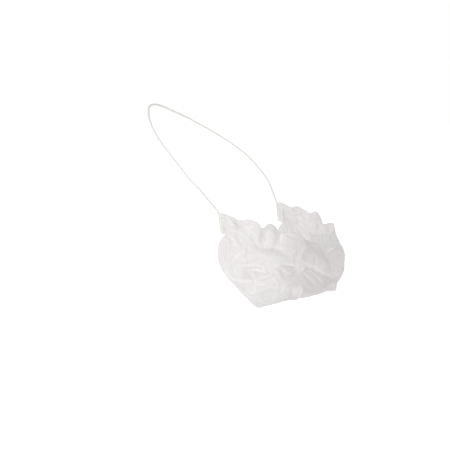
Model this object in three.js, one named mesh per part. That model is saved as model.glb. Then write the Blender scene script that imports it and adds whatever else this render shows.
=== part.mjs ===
// Disposable beard net: a ruffled pouch of thin nonwoven cloth that holds the beard under the chin.
// The cloth is gathered into a short welded seam at each end, and one thin elastic leaves the top
// of the seams, passes in front of the ears and goes round the back of the head.
// Millimetres. The wearer faces -Y, the wearer's right is -X and Z is up. The origin is the point
// of the chin, inside the pouch on the mid-plane.
import * as THREE from 'three';

// Top corners of the pouch, where cloth, seam and elastic meet
const cornerSpread = 130;
const cornerHeight = 50;
const cornerBack = 61;

// How far each guide line of the pouch reaches ahead of the corners and drops below them
const rimReach = 80;
const rimDip = 25;
const bellyReach = 90.5;
const bellyDrop = 55;
const keelReach = 80;
const keelDrop = 77;
const throatReach = 31;
const throatDrop = 89;

// Cloth
const clothWall = 1;
const foldWidth = 9;
const foldHeight = 4;
const ruffleRise = 5;
const ruffleLean = 3.2;
const ruffleFade = 24;

// End seams, where the cloth is pleated together and welded
const gatherHeight = 20;
const gatherLean = 2.5;
const seamLength = 19.5;
const seamDepth = 3.5;
const seamThickness = 2.4;
const scallopDepth = 0.5;
const pleatHeight = 0.5;
const pleatFade = 12;
const pleats = 5;
const calmReach = 26;

// Elastic and the gap that is left between separate pieces
const elasticDiameter = 2;
const clearance = 0.3;

// Fineness of the faceted surfaces
const columns = 78;
const rows = 28;
const smoothings = 2;
const elasticSteps = 80;
const elasticSides = 8;
const scallopSteps = 4;
const foldSteps = 6;
const slopeStep = 0.004;

// The four guide lines of the pouch, from the top edge to the edge under the throat. Each row is a
// section, from 0 on the mid-plane towards 1 at the end seam. Side is a share of half the corner
// spread, forward a share of the line's reach and fall a share of its drop. The place is how far
// down the cloth the line runs, and seam is how far down the gathered end it arrives.
const guideLines = [
  {
    place: 0, seam: 0, reach: rimReach, drop: rimDip,
    sections: [
      { at: 0.00, side: 0.000, forward: 1.000, fall: 1.00 },
      { at: 0.20, side: 0.338, forward: 0.956, fall: 0.96 },
      { at: 0.40, side: 0.646, forward: 0.838, fall: 0.84 },
      { at: 0.60, side: 0.862, forward: 0.638, fall: 0.60 },
      { at: 0.80, side: 0.962, forward: 0.350, fall: 0.26 },
      { at: 0.92, side: 0.989, forward: 0.160, fall: 0.14 },
      { at: 0.97, side: 0.997, forward: 0.070, fall: 0.06 },
    ],
  },
  {
    place: 0.27, seam: 0.35, reach: bellyReach, drop: bellyDrop,
    sections: [
      { at: 0.00, side: 0.000, forward: 1.000, fall: 1.000 },
      { at: 0.20, side: 0.400, forward: 0.961, fall: 0.982 },
      { at: 0.40, side: 0.738, forward: 0.801, fall: 0.927 },
      { at: 0.60, side: 0.985, forward: 0.591, fall: 0.855 },
      { at: 0.80, side: 1.077, forward: 0.331, fall: 0.745 },
      { at: 0.92, side: 1.077, forward: 0.177, fall: 0.473 },
      { at: 0.97, side: 1.031, forward: 0.090, fall: 0.205 },
    ],
  },
  {
    place: 0.58, seam: 0.7, reach: keelReach, drop: keelDrop,
    sections: [
      { at: 0.00, side: 0.000, forward: 1.000, fall: 1.000 },
      { at: 0.20, side: 0.354, forward: 0.950, fall: 1.000 },
      { at: 0.40, side: 0.631, forward: 0.788, fall: 1.005 },
      { at: 0.60, side: 0.862, forward: 0.575, fall: 1.035 },
      { at: 0.80, side: 1.000, forward: 0.320, fall: 0.948 },
      { at: 0.92, side: 1.062, forward: 0.106, fall: 0.560 },
      { at: 0.97, side: 1.031, forward: 0.105, fall: 0.265 },
    ],
  },
  {
    place: 1, seam: 1, reach: throatReach, drop: throatDrop,
    sections: [
      { at: 0.00, side: 0.000, forward: 1.000, fall: 1.000 },
      { at: 0.20, side: 0.246, forward: 1.016, fall: 1.006 },
      { at: 0.40, side: 0.492, forward: 1.032, fall: 1.011 },
      { at: 0.60, side: 0.738, forward: 0.968, fall: 1.011 },
      { at: 0.80, side: 0.923, forward: 0.419, fall: 0.831 },
      { at: 0.92, side: 1.023, forward: -0.165, fall: 0.480 },
      { at: 0.97, side: 1.012, forward: 0.120, fall: 0.330 },
    ],
  },
];

// The ruffled top edge, from the right end at -1 to the left end at 1. Rise is a share of the
// ruffle's rise: where it is positive a lobe stands up and leans out, and between lobes it dips.
const ruffles = [
  { at: -1.00, rise: 0.0 },
  { at: -0.92, rise: -0.4 },
  { at: -0.84, rise: 0.2 },
  { at: -0.77, rise: 0.2 },
  { at: -0.715, rise: -0.6 },
  { at: -0.67, rise: 0.7 },
  { at: -0.62, rise: 1.0 },
  { at: -0.56, rise: -0.3 },
  { at: -0.50, rise: 0.1 },
  { at: -0.43, rise: 0.4 },
  { at: -0.35, rise: 0.0 },
  { at: -0.28, rise: -0.5 },
  { at: -0.20, rise: 0.4 },
  { at: -0.10, rise: 0.5 },
  { at: 0.06, rise: 0.1 },
  { at: 0.20, rise: -0.3 },
  { at: 0.34, rise: 0.2 },
  { at: 0.44, rise: 0.4 },
  { at: 0.58, rise: -0.4 },
  { at: 0.69, rise: 0.8 },
  { at: 0.80, rise: -0.2 },
  { at: 0.90, rise: 0.3 },
  { at: 1.00, rise: 0.0 },
];

// Folds of the cloth. A path lists places on the cloth as [at, down], with at as above and down
// from 0 at the top edge to 1 at the throat edge. Width is a share of the fold width and height a
// share of the fold height, negative for a valley. The other half's share of a fold is its repeat
// on the wearer's left, mirrored.
const folds = [
  { path: [[-0.99, 0.12], [-0.88, 0.15], [-0.79, 0.22]], width: 0.6, height: -0.35, otherHalf: 0.8 },
  { path: [[-0.96, 0.06], [-0.86, 0.06], [-0.75, 0.16]], width: 0.6, height: 0.45, otherHalf: 0.8 },
  { path: [[-0.80, 0.18], [-0.70, 0.17], [-0.56, 0.17]], width: 1.2, height: -0.90, otherHalf: 0.9 },
  { path: [[-0.66, 0.02], [-0.66, 0.10]], width: 1.2, height: 0.80, otherHalf: 1 },
  { path: [[-0.725, 0.00], [-0.72, 0.11]], width: 0.6, height: -0.50, otherHalf: 0.8 },
  { path: [[-0.59, 0.00], [-0.58, 0.10]], width: 0.6, height: -0.50, otherHalf: 0.8 },
  { path: [[-0.50, 0.06], [-0.38, 0.10]], width: 1.8, height: 0.80, otherHalf: 0.8 },
  { path: [[-0.42, 0.11], [-0.45, 0.18], [-0.45, 0.26]], width: 0.7, height: -0.60, otherHalf: 0.8 },
  { path: [[-0.34, 0.09], [-0.27, 0.08], [-0.20, 0.11], [-0.16, 0.18], [-0.12, 0.28]],
    width: 0.9, height: 0.80, otherHalf: 0 },
  { path: [[-0.25, 0.02], [-0.15, 0.04], [-0.10, 0.14], [-0.06, 0.24]],
    width: 0.8, height: -0.50, otherHalf: 0 },
  { path: [[-0.42, 0.19], [-0.28, 0.25], [-0.18, 0.31], [-0.02, 0.36]],
    width: 0.8, height: 0.60, otherHalf: 0.7 },
  { path: [[-0.33, 0.36], [-0.20, 0.40], [-0.10, 0.43]], width: 1.9, height: -1.20, otherHalf: 0.5 },
  { path: [[-0.40, 0.28], [-0.31, 0.32], [-0.21, 0.40], [-0.09, 0.47], [0.05, 0.52]],
    width: 0.8, height: 0.90, otherHalf: 0 },
  { path: [[-0.02, 0.49], [0.08, 0.53]], width: 1.5, height: 1.30, otherHalf: 0 },
  { path: [[-0.95, 0.41], [-0.91, 0.24], [-0.86, 0.20]], width: 0.6, height: 0.40, otherHalf: 0.8 },
  { path: [[-0.90, 0.46], [-0.86, 0.36], [-0.75, 0.28], [-0.68, 0.29]],
    width: 0.7, height: 0.50, otherHalf: 0.8 },
  { path: [[-0.87, 0.60], [-0.83, 0.50], [-0.77, 0.43]], width: 0.7, height: 0.55, otherHalf: 0.8 },
  { path: [[-0.80, 0.37], [-0.76, 0.41], [-0.75, 0.49], [-0.78, 0.57]],
    width: 0.7, height: -0.50, otherHalf: 0.8 },
  { path: [[-0.69, 0.39], [-0.62, 0.33], [-0.56, 0.21]], width: 0.7, height: -0.60, otherHalf: 0.8 },
  { path: [[-0.65, 0.33], [-0.57, 0.35], [-0.49, 0.38]], width: 0.6, height: 0.60, otherHalf: 0.8 },
  { path: [[-0.59, 0.31], [-0.56, 0.41], [-0.54, 0.57]], width: 0.8, height: -0.50, otherHalf: 0.8 },
  { path: [[-0.52, 0.46], [-0.44, 0.38]], width: 0.8, height: -0.50, otherHalf: 0.8 },
  { path: [[-0.66, 0.66], [-0.58, 0.78]], width: 1.4, height: 0.35, otherHalf: 1 },
  { path: [[-0.42, 0.62], [-0.40, 0.85]], width: 1.2, height: -0.60, otherHalf: 1 },
  { path: [[-0.22, 0.66], [-0.18, 0.95]], width: 1.2, height: 0.50, otherHalf: 1 },
];

// Route of the elastic's middle line on the wearer's right, from its end in the weld, up behind
// the seam, in front of the ear and round to the mid-plane at the back of the head
const elasticRoute = [
  [-65, 63.7, 30.5],
  [-65, 64.7, 38.5],
  [-65, 65.7, 46.5],
  [-65.1, 66.3, 49.8],
  [-67.2, 69.6, 55.3],
  [-70.5, 73.9, 61.7],
  [-75, 82.1, 73.1],
  [-77, 92.5, 83.5],
  [-76, 103.3, 94.6],
  [-71.5, 115.6, 105.1],
  [-64, 129.6, 115.9],
  [-53, 143.6, 126.4],
  [-40, 155.5, 135.5],
  [-24, 166.2, 143.7],
  [-8, 173, 149.7],
];

// Colours and finishes
const clothFinish = new THREE.MeshStandardMaterial({ color: 0xe6e6e8, roughness: 0.92, metalness: 0 });
const seamFinish = new THREE.MeshStandardMaterial({ color: 0xdfdcd6, roughness: 0.8, metalness: 0 });
const elasticFinish = new THREE.MeshStandardMaterial({ color: 0xeeeadd, roughness: 0.85, metalness: 0 });

// A point given by its distance across, ahead of the corners and below them
function fromCorners(across, forward, below) {
  return new THREE.Vector3(across, cornerBack - forward, cornerHeight - below);
}

// The gathered end of the cloth, from its top corner at 0 to its lower end at 1, on the side given
// as -1 or 1
function gatherPoint(share, side) {
  return fromCorners(side * cornerSpread / 2, gatherLean * share, gatherHeight * share);
}

// The direction square to the gathered end, towards the back of the head
const endBackward = new THREE.Vector3(0, gatherHeight, -gatherLean).normalize();

// The place on a smooth curve through points at unevenly spaced stations
function curveThrough(stations, points, x) {
  const last = stations.length - 1;
  let left = stations.findIndex((station) => station > x) - 1;
  if (left < 0) left = last - 1;
  const slope = (i) => points[i + 1].clone().sub(points[i]).divideScalar(stations[i + 1] - stations[i]);
  const tangent = (i) => {
    if (i === 0) return slope(0);
    if (i === last) return slope(last - 1);
    const before = stations[i] - stations[i - 1];
    const after = stations[i + 1] - stations[i];
    const sum = slope(i - 1).multiplyScalar(after).add(slope(i).multiplyScalar(before));
    return sum.divideScalar(before + after);
  };
  const span = stations[left + 1] - stations[left];
  const t = (x - stations[left]) / span;
  const start = points[left].clone().multiplyScalar((1 + 2 * t) * (1 - t) ** 2);
  const end = points[left + 1].clone().multiplyScalar(t * t * (3 - 2 * t));
  const leaving = tangent(left).multiplyScalar(span * t * (1 - t) ** 2);
  const arriving = tangent(left + 1).multiplyScalar(span * t * t * (t - 1));
  return start.add(end).add(leaving).add(arriving);
}

// Each guide line as stations and points across the whole pouch, from the right seam to the left
const guides = guideLines.map((line) => {
  const half = (side) => line.sections.map((section) => ({
    at: side * section.at,
    point: fromCorners(
      side * section.side * cornerSpread / 2,
      section.forward * line.reach,
      section.fall * line.drop,
    ),
  }));
  const across = [
    { at: -1, point: gatherPoint(line.seam, -1) },
    ...half(-1).slice(1).reverse(),
    ...half(1),
    { at: 1, point: gatherPoint(line.seam, 1) },
  ];
  return { place: line.place, stations: across.map((p) => p.at), points: across.map((p) => p.point) };
});

// The smooth pouch, before ruffles and folds
function smoothPouch(at, down) {
  const section = guides.map((guide) => curveThrough(guide.stations, guide.points, at));
  return curveThrough(guides.map((guide) => guide.place), section, down);
}

// The outward direction of any surface given as a function of at and down
function outward(surface, at, down) {
  const [left, right] = [Math.max(at - slopeStep, -1), Math.min(at + slopeStep, 1)];
  const [top, bottom] = [Math.max(down - slopeStep, 0), Math.min(down + slopeStep, 1)];
  const along = surface(right, down).sub(surface(left, down));
  const below = surface(at, bottom).sub(surface(at, top));
  return below.cross(along).normalize();
}

// A bell that is 1 at no distance and falls to 0 at the reach
function bell(distance, reach) {
  return distance < reach ? 0.5 + 0.5 * Math.cos(Math.PI * distance / reach) : 0;
}

// A fold's path as a chain of short straight steps on the smooth pouch
function foldChain(path, side) {
  const chain = [];
  for (let i = 0; i + 1 < path.length; i += 1) {
    for (let k = 0; k <= foldSteps; k += 1) {
      const t = k / foldSteps;
      const at = path[i][0] + (path[i + 1][0] - path[i][0]) * t;
      const down = path[i][1] + (path[i + 1][1] - path[i][1]) * t;
      chain.push(smoothPouch(side * at, down));
    }
  }
  return chain;
}

// Both halves' folds, each with its chain, width and height
const foldShapes = folds.flatMap((fold) => [
  { chain: foldChain(fold.path, 1), width: fold.width * foldWidth, height: fold.height * foldHeight },
  {
    chain: foldChain(fold.path, -1),
    width: fold.width * foldWidth,
    height: fold.height * foldHeight * fold.otherHalf,
  },
]).filter((fold) => fold.height !== 0);

// How far the folds lift the cloth at a point of the smooth pouch
const segment = new THREE.Line3();
const nearest = new THREE.Vector3();
function foldLift(point) {
  let lift = 0;
  for (const fold of foldShapes) {
    let distance = Infinity;
    for (let i = 0; i + 1 < fold.chain.length; i += 1) {
      segment.set(fold.chain[i], fold.chain[i + 1]);
      segment.closestPointToPoint(point, true, nearest);
      distance = Math.min(distance, nearest.distanceTo(point));
    }
    lift += fold.height * bell(distance, fold.width);
  }
  return lift;
}

// How high the ruffled edge stands at a place along the rim
const ruffleStations = ruffles.map((ruffle) => ruffle.at);
const rufflePoints = ruffles.map((ruffle) => new THREE.Vector3(ruffle.rise, 0, 0));
function ruffleShare(at) {
  return curveThrough(ruffleStations, rufflePoints, at).x;
}

// The cloth's middle surface: the smooth pouch with its ruffles, folds and the seam's pleats
function clothPouch(at, down) {
  const base = smoothPouch(at, down);
  const normal = outward(smoothPouch, at, down);
  const fromRim = base.distanceTo(smoothPouch(at, 0));
  const side = Math.sign(at) || 1;
  const fromSeam = base.distanceTo(gatherPoint(down, side));
  const freeOfSeam = 1 - bell(fromSeam, calmReach);
  const ruffle = ruffleShare(at) * bell(fromRim, ruffleFade);
  const pleat = pleatHeight * Math.cos(2 * Math.PI * pleats * down) * bell(fromSeam, pleatFade);
  base.addScaledVector(normal, (foldLift(base) + ruffle * ruffleLean) * freeOfSeam);
  base.x += side * pleat;
  base.z += ruffle * ruffleRise * freeOfSeam;
  return base;
}

// The cloth wall: the middle surface offset both ways and closed round its four edges
function clothWallGeometry() {
  const middle = [];
  for (let j = 0; j <= rows; j += 1) {
    for (let i = 0; i <= columns; i += 1) {
      middle.push(clothPouch(-1 + 2 * i / columns, j / rows));
    }
  }
  const stride = columns + 1;
  const index = (i, j) => Math.min(Math.max(j, 0), rows) * stride + Math.min(Math.max(i, 0), columns);
  const around = (values, i, j) => [
    values[index(i - 1, j)], values[index(i + 1, j)], values[index(i, j - 1)], values[index(i, j + 1)],
  ];
  let normals = middle.map((point, k) => {
    const [left, right, above, beneath] = around(middle, k % stride, Math.floor(k / stride));
    return beneath.clone().sub(above).cross(right.clone().sub(left)).normalize();
  });
  for (let pass = 0; pass < smoothings; pass += 1) {
    normals = normals.map((normal, k) => {
      const sum = normal.clone();
      around(normals, k % stride, Math.floor(k / stride)).forEach((beside) => sum.add(beside));
      return sum.normalize();
    });
  }
  const positions = [];
  for (const offset of [clothWall / 2, -clothWall / 2]) {
    middle.forEach((point, k) => {
      const normal = normals[k].clone();
      const atSeam = k % stride === 0 || k % stride === columns;
      if (atSeam) normal.projectOnPlane(endBackward).normalize();
      positions.push(...point.clone().addScaledVector(normal, offset).toArray());
    });
  }
  const inside = stride * (rows + 1);
  const faces = [];
  for (let j = 0; j < rows; j += 1) {
    for (let i = 0; i < columns; i += 1) {
      const [a, b] = [index(i, j), index(i + 1, j)];
      const [c, d] = [index(i, j + 1), index(i + 1, j + 1)];
      faces.push(a, c, b, b, c, d);
      faces.push(inside + a, inside + b, inside + c, inside + b, inside + d, inside + c);
    }
  }
  const closeEdge = (from, to) => {
    faces.push(from, to, inside + from, to, inside + to, inside + from);
  };
  for (let i = 0; i < columns; i += 1) {
    closeEdge(index(i, 0), index(i + 1, 0));
    closeEdge(index(i + 1, rows), index(i, rows));
  }
  for (let j = 0; j < rows; j += 1) {
    closeEdge(index(0, j + 1), index(0, j));
    closeEdge(index(columns, j), index(columns, j + 1));
  }
  const geometry = new THREE.BufferGeometry();
  geometry.setAttribute('position', new THREE.Float32BufferAttribute(positions, 3));
  geometry.setIndex(faces);
  geometry.computeVertexNormals();
  return geometry;
}

// An end seam's outline in the plane of the seam: straight along the cloth, scalloped at the back
function seamGeometry() {
  const pitch = seamLength / pleats;
  const valley = seamDepth - scallopDepth;
  const outline = new THREE.Shape();
  outline.moveTo(clearance, -seamLength);
  outline.lineTo(clearance + valley, -seamLength);
  for (let i = 0; i < pleats; i += 1) {
    const low = i * pitch - seamLength;
    const crest = clearance + valley + 2 * scallopDepth;
    outline.quadraticCurveTo(crest, low + pitch / 2, clearance + valley, low + pitch);
  }
  outline.lineTo(clearance, 0);
  outline.closePath();
  const geometry = new THREE.ExtrudeGeometry(outline, {
    depth: seamThickness, bevelEnabled: false, curveSegments: scallopSteps,
  });
  return geometry.translate(0, 0, -seamThickness / 2);
}

// One end seam, standing behind the cloth's end and leaning with it
function endSeam(name, side) {
  const seam = new THREE.Mesh(seamGeometry(), seamFinish);
  const top = gatherPoint(0, side);
  const upward = top.clone().sub(gatherPoint(1, side)).normalize();
  const sideways = new THREE.Vector3(1, 0, 0);
  seam.quaternion.setFromRotationMatrix(new THREE.Matrix4().makeBasis(endBackward, upward, sideways));
  seam.position.copy(top);
  seam.name = name;
  return seam;
}

// The elastic: a round cord along its route on the right and the same route mirrored on the left
function elasticGeometry() {
  const right = elasticRoute.map(([x, y, z]) => new THREE.Vector3(x, y, z));
  const left = elasticRoute.map(([x, y, z]) => new THREE.Vector3(-x, y, z)).reverse();
  const section = new THREE.Shape();
  for (let i = 0; i < elasticSides; i += 1) {
    const turn = 2 * Math.PI * (i + 0.5) / elasticSides;
    const corner = [Math.cos(turn) * elasticDiameter / 2, Math.sin(turn) * elasticDiameter / 2];
    if (i === 0) section.moveTo(...corner);
    else section.lineTo(...corner);
  }
  section.closePath();
  return new THREE.ExtrudeGeometry(section, {
    steps: elasticSteps,
    bevelEnabled: false,
    extrudePath: new THREE.CatmullRomCurve3([...right, ...left], false, 'centripetal'),
  });
}

const beardNet = new THREE.Group();

const pouch = new THREE.Mesh(clothWallGeometry(), clothFinish);
pouch.name = 'pouch';
beardNet.add(pouch);

beardNet.add(endSeam('end_seam_right', -1));
beardNet.add(endSeam('end_seam_left', 1));

const elastic = new THREE.Mesh(elasticGeometry(), elasticFinish);
elastic.name = 'head_elastic';
beardNet.add(elastic);

export default beardNet;
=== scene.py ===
"""A disposable beard net as it hangs under a chin: a ruffled pouch of white nonwoven cloth, its two
pleated and welded ends, and one braided elastic that joins them round the back.

Metres. The wearer faces -Y, the wearer's right is -X and Z is up. A place on the cloth is given as
(at, down): at runs from -1 at the right end seam to 1 at the left one, and down from 0 at the top
edge to 1 at the edge under the throat."""

import math
from collections import namedtuple
from itertools import starmap

import bmesh
import bpy
import numpy as np
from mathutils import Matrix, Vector
from mathutils.geometry import delaunay_2d_cdt


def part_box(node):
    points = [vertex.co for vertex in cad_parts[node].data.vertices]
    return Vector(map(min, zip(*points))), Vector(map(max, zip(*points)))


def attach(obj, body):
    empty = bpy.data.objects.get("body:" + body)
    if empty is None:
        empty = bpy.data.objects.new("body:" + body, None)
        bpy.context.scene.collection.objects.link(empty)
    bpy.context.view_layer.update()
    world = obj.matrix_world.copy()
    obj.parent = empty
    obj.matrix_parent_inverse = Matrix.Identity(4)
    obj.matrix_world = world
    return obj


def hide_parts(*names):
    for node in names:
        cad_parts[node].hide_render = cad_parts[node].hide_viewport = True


bl_info = {
    "name": "Disposable Beard Net",
    "version": (1, 0, 0),
    "blender": (4, 5, 0),
    "location": "View3D > Sidebar > Beard Net",
    "description": "Builds a ruffled nonwoven beard net with its end seams and elastic",
    "category": "Add Mesh",
}

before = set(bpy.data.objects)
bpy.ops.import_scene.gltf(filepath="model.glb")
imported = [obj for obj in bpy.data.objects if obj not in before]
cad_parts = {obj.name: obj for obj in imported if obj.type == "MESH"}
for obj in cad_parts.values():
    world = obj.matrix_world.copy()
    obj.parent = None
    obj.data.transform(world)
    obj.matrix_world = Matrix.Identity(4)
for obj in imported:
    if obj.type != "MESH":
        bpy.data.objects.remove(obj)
MM = 0.001

GuideLine = namedtuple("GuideLine", "place seam reach drop side forward fall")
Ruffle = namedtuple("Ruffle", "at rise lean")
Fold = namedtuple("Fold", "path width height other_half", defaults=[0.8])
Overlap = namedtuple("Overlap", "path fade crest height other_half")
Layer = namedtuple("Layer", "path share other_half")
Area = namedtuple("Area", "at down reach crumple")
ElasticPoint = namedtuple("ElasticPoint", "x y z")
Lamp = namedtuple("Lamp", "name azimuth elevation distance size share")


# Floor, light and camera. AIM is what the camera looks at. A lamp's angles are in degrees, and its
# share is of the key light's power.

AIM = Vector((-1.8, 91.6, 31.4)) * MM
SENSOR_WIDTH = 36
FLOOR_REACH = 6.0
FLOOR_GLOW = 0.25
SEEN_GLOW = 0.27
LAMPS = [
    Lamp("key", -112, 8, 1.3, 1.4, 1.0),
    Lamp("fill", -20, 25, 1.6, 1.2, 0.2),
]


# Finish of the cloth. A hollow as deep as DEEP_CREASE has the full painted shade. The thin line painted
# along a fold, a painted highlight on a ridge and painted shade in a valley, reaches LINE_REACH to each
# side and adds LINE_SHARE to that. Each layer of filaments has its turn and its fineness.

DEEP_CREASE = 0.2 * MM
LINE_REACH = 1.1 * MM
LINE_SHARE = 0.35
BOND_PITCH = 1.4 * MM
FILAMENTS = ((0.35, 5200), (-0.9, 4300))


# How the cloth settles: on every fourth row and column, held at its ends and less elsewhere

SETTLE_STEP = 4
SETTLE_FRAMES = 24
HELD_END = 0.05
LEAST_HOLD = 0.3
CLOTH = {
    "quality": 6,
    "mass": 0.02,
    "tension_stiffness": 30,
    "compression_stiffness": 30,
    "shear_stiffness": 15,
    "pin_stiffness": 0.6,
}


# Squares of the elastic's braid and of the seams, the share of a seam that is rounded at each end,
# the exponent that squares its rings, and the stretch of it that has weld points

BRAID_STEP = 0.36 * MM
BRAID_SIDES = 16
SEAM_SIDES = 28
SEAM_LEVELS = 96
SEAM_ROUNDING = 0.03
SQUARENESS = 0.7
WELDED_STRETCH = (0.06, 0.94)


# Places read from the frame

SEAM_LOW, SEAM_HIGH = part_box("end_seam_right")
CORNER_HALF_SPREAD = -(SEAM_LOW[0] + SEAM_HIGH[0]) / 2
CORNER_HEIGHT = SEAM_HIGH[2]
SEAM_LEAN = 2.5 * MM
SEAM_GAP = 0.3 * MM
CORNER_BACK = SEAM_LOW[1] + SEAM_LEAN - SEAM_GAP
GATHER_HEIGHT = 20 * MM


# Shape of the pouch

# How far from the seams the ruffles, the creases and the pleats have their full height, the number
# of pleats, the rounds of smoothing at the ends, and the laps' share and softness before and after
# the cloth settles
RUFFLE_FREE = 22 * MM
CREASE_FREE = 16 * MM
PLEAT_START = 12 * MM
PLEATS_DOWN = 4.5
RELAXING_ROUNDS = 120
SOFT_LAP = (0.6, 1.2 * MM)
CRISP_LAP = (0.5, 0.5 * MM)

# Shares of a path over which a painted fold line, a lap and a small crease fade out at each end
LINE_ENDS = 0.15
LAP_ENDS = 0.18
CREASE_ENDS = 0.3

# How crisp the crest of a fold is, and how much lower than its crest a lap is at its edge
CREST_POWER = 1.7
LAP_DIP = 0.45

# How far the repeat on the wearer's left is shifted along the cloth and stretched down it
OTHER_SHIFT = 0.05
OTHER_STRETCH = 0.2

# Facets: the draws of the large and the small ones, how unevenly their corners lie, and how many
# times smaller the small ones are, with their share of the height. AREA_TALLNESS is how many times
# its reach along the cloth a smoother or more crumpled stretch reaches down it.
FACET_DRAWS = (3, 5)
FACET_JITTER = 0.42
SMALL_FACETS = 2.2
SMALL_FACET_SHARE = 0.4
AREA_TALLNESS = 2.4

# Small creases: their draw, and the ranges of their run, reach to each side and share of the height
CREASE_DRAW = 7
CREASE_RUN = (0.02, 0.075)
CREASE_REACH_MM = (1.3, 2.6)
CREASE_SHARE = (0.35, 1.0)

# Waves of the edge under the throat, as parts of the whole wave with their rate and shift
HEM_FADE = 0.3
HEM_WAVES = ((0.6, 19, 1), (0.4, 31, 2))

# How much more a small crease spans of the way down the cloth than of the way along it
DOWN_PER_ALONG = 2.6

# The four guide lines from the top edge to the throat edge, by their points at the same stations from
# the middle towards a seam. Side is a share of half the spread between the corners, forward a share
# of the line's reach and fall a share of its drop.
STATIONS = [0.00, 0.20, 0.40, 0.60, 0.80, 0.92, 0.97]
GUIDE_LINES = [
    GuideLine(0.0, 0.0, 80 * MM, 25 * MM,
              side=[0.000, 0.338, 0.646, 0.862, 0.962, 0.989, 0.997],
              forward=[1.000, 0.956, 0.838, 0.638, 0.350, 0.160, 0.070],
              fall=[1.00, 0.96, 0.84, 0.60, 0.26, 0.14, 0.06]),
    GuideLine(0.27, 0.35, 90.5 * MM, 55 * MM,
              side=[0.000, 0.400, 0.738, 0.985, 1.077, 1.077, 1.031],
              forward=[1.000, 0.961, 0.801, 0.591, 0.331, 0.177, 0.090],
              fall=[1.000, 0.982, 0.927, 0.855, 0.745, 0.473, 0.205]),
    GuideLine(0.58, 0.7, 80 * MM, 77 * MM,
              side=[0.000, 0.354, 0.631, 0.862, 1.000, 1.062, 1.031],
              forward=[1.000, 0.950, 0.788, 0.575, 0.320, 0.106, 0.105],
              fall=[1.000, 1.000, 1.005, 1.035, 0.948, 0.560, 0.265]),
    GuideLine(1.0, 1.0, 31 * MM, 89 * MM,
              side=[0.000, 0.246, 0.492, 0.738, 0.923, 1.023, 1.012],
              forward=[1.000, 1.016, 1.032, 0.968, 0.419, -0.165, -0.100],
              fall=[1.000, 1.006, 1.011, 1.011, 0.831, 0.480, 0.300]),
]

# The ruffled top edge. Rise and lean are shares of the ruffle's rise and of its lean outwards.
RUFFLES = list(starmap(Ruffle, [
    (-1.00, 0.00, 0.0), (-0.95, -0.15, 0.3), (-0.90, -0.25, -0.2), (-0.86, -0.10, 0.2),
    (-0.82, 0.20, 0.5), (-0.77, 0.20, 0.5), (-0.735, 0.05, 0.3), (-0.71, -0.50, 0.0),
    (-0.67, 0.60, -0.1), (-0.645, 0.95, -0.1), (-0.62, 0.95, -0.2), (-0.59, 0.55, -0.4),
    (-0.57, 0.00, -0.2), (-0.555, -0.20, 0.5), (-0.53, -0.05, 0.8), (-0.48, 0.20, 0.9),
    (-0.43, 0.40, 0.9), (-0.39, 0.25, 0.8), (-0.35, 0.00, 0.5), (-0.31, -0.40, 0.0),
    (-0.27, -0.50, -0.4), (-0.20, 0.40, -0.3), (-0.10, 0.50, 0.3), (0.00, 0.30, 0.0),
    (0.08, 0.00, -0.4), (0.15, 0.40, 0.3), (0.22, 0.10, 0.7), (0.29, -0.50, -0.2), (0.36, 0.20, 0.2),
    (0.44, 0.40, 0.8), (0.52, 0.00, 0.4), (0.58, -0.50, -0.4), (0.64, 0.60, 0.1), (0.69, 0.80, 0.3),
    (0.75, -0.10, -0.2), (0.81, -0.10, 0.4), (0.88, 0.30, 0.2), (0.94, -0.20, -0.2), (1.00, 0.00, 0.0),
]))

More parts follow.
